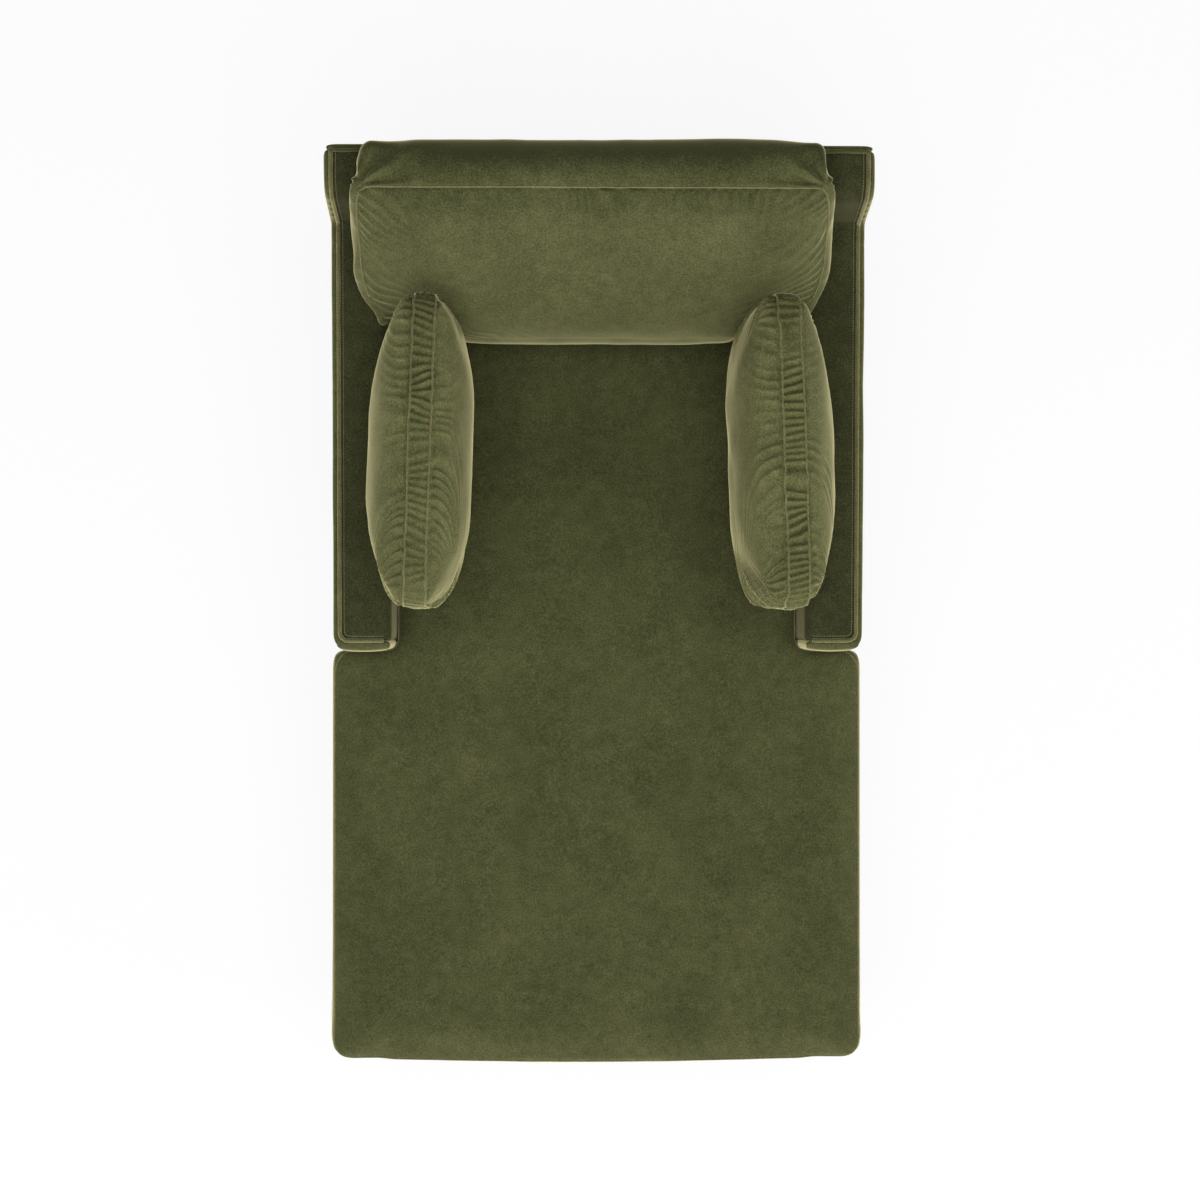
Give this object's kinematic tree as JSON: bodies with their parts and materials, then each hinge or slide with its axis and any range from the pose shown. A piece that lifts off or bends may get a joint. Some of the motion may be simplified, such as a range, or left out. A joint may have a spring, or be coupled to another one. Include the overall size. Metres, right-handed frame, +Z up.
{
  "type": "chaise longue",
  "caption": "Upholstered chaise longue in green velvet with stepped arms, a loose T-shaped seat cushion, a loose back cushion and boxed arm pillows on tapered legs.",
  "frame": {"origin": "on the floor, under the middle of the outer box", "axes": "+X across the seat to the right in a view from the foot end, +Y from the foot end to the back, +Z up"},
  "size_m": [1.032, 1.7346, 0.9019],
  "materials": {
    "velvet": "matte",
    "filling": "matte",
    "foam": "matte",
    "frame_wood": "matte",
    "leg_wood": "satin",
    "webbing": "matte",
    "deck_cloth": "matte",
    "dust_cloth": "matte",
    "steel": "satin",
    "glide_felt": "matte"
  },
  "bodies": {
    "frame": {"front_rail": "frame_wood", "rear_rail": "frame_wood", "cross_rails": "frame_wood", "corner_blocks": "frame_wood", "back_lower_rail": "frame_wood", "back_top_rail": "frame_wood", "loose_tenons": "frame_wood", "cross_straps": "webbing", "long_straps": "webbing", "back_straps": "webbing", "deck_pad": "foam", "deck_cover": "deck_cloth", "back_foam": "foam", "back_cover": "velvet", "back_welt": "velvet", "outside_back": "velvet", "base_foam": "foam", "base_cover": "velvet", "dust_cover": "dust_cloth", "leg_bolts": "steel", "leg_nuts": "steel", "leg_glides": "glide_felt", "front_left_leg": "leg_wood", "front_right_leg": "leg_wood", "rear_left_leg": "leg_wood", "rear_right_leg": "leg_wood", "left_side_panel": "frame_wood", "left_side_rail": "frame_wood", "left_arm_post": "frame_wood", "left_arm_rail": "frame_wood", "left_back_post": "frame_wood", "left_arm_foam": "foam", "left_arm_cover": "velvet", "left_outside_panel": "velvet", "left_arm_welt": "velvet", "right_side_panel": "frame_wood", "right_side_rail": "frame_wood", "right_arm_post": "frame_wood", "right_arm_rail": "frame_wood", "right_back_post": "frame_wood", "right_arm_foam": "foam", "right_arm_cover": "velvet", "right_outside_panel": "velvet", "right_arm_welt": "velvet"},
    "seat_cushion": {"seat_cushion_cover": "velvet", "seat_cushion_filling": "filling"},
    "back_cushion": {"back_cushion_cover": "velvet", "back_cushion_filling": "filling"},
    "left_pillow": {"left_pillow_cover": "velvet", "left_pillow_filling": "filling"},
    "right_pillow": {"right_pillow_cover": "velvet", "right_pillow_filling": "filling"}
  },
  "joints": [
    {"name": "seat_cushion_lift", "type": "slide", "parent": "frame", "child": "seat_cushion", "axis": [0, 0, 1], "range_m": [0, 0.36]},
    {"name": "back_cushion_lift", "type": "slide", "parent": "seat_cushion", "child": "back_cushion", "axis": [0, 0, 1], "range_m": [0, 0.4]},
    {"name": "left_pillow_lift", "type": "slide", "parent": "seat_cushion", "child": "left_pillow", "axis": [0, 0, 1], "range_m": [0, 0.42]},
    {"name": "right_pillow_lift", "type": "slide", "parent": "seat_cushion", "child": "right_pillow", "axis": [0, 0, 1], "range_m": [0, 0.42]}
  ]
}
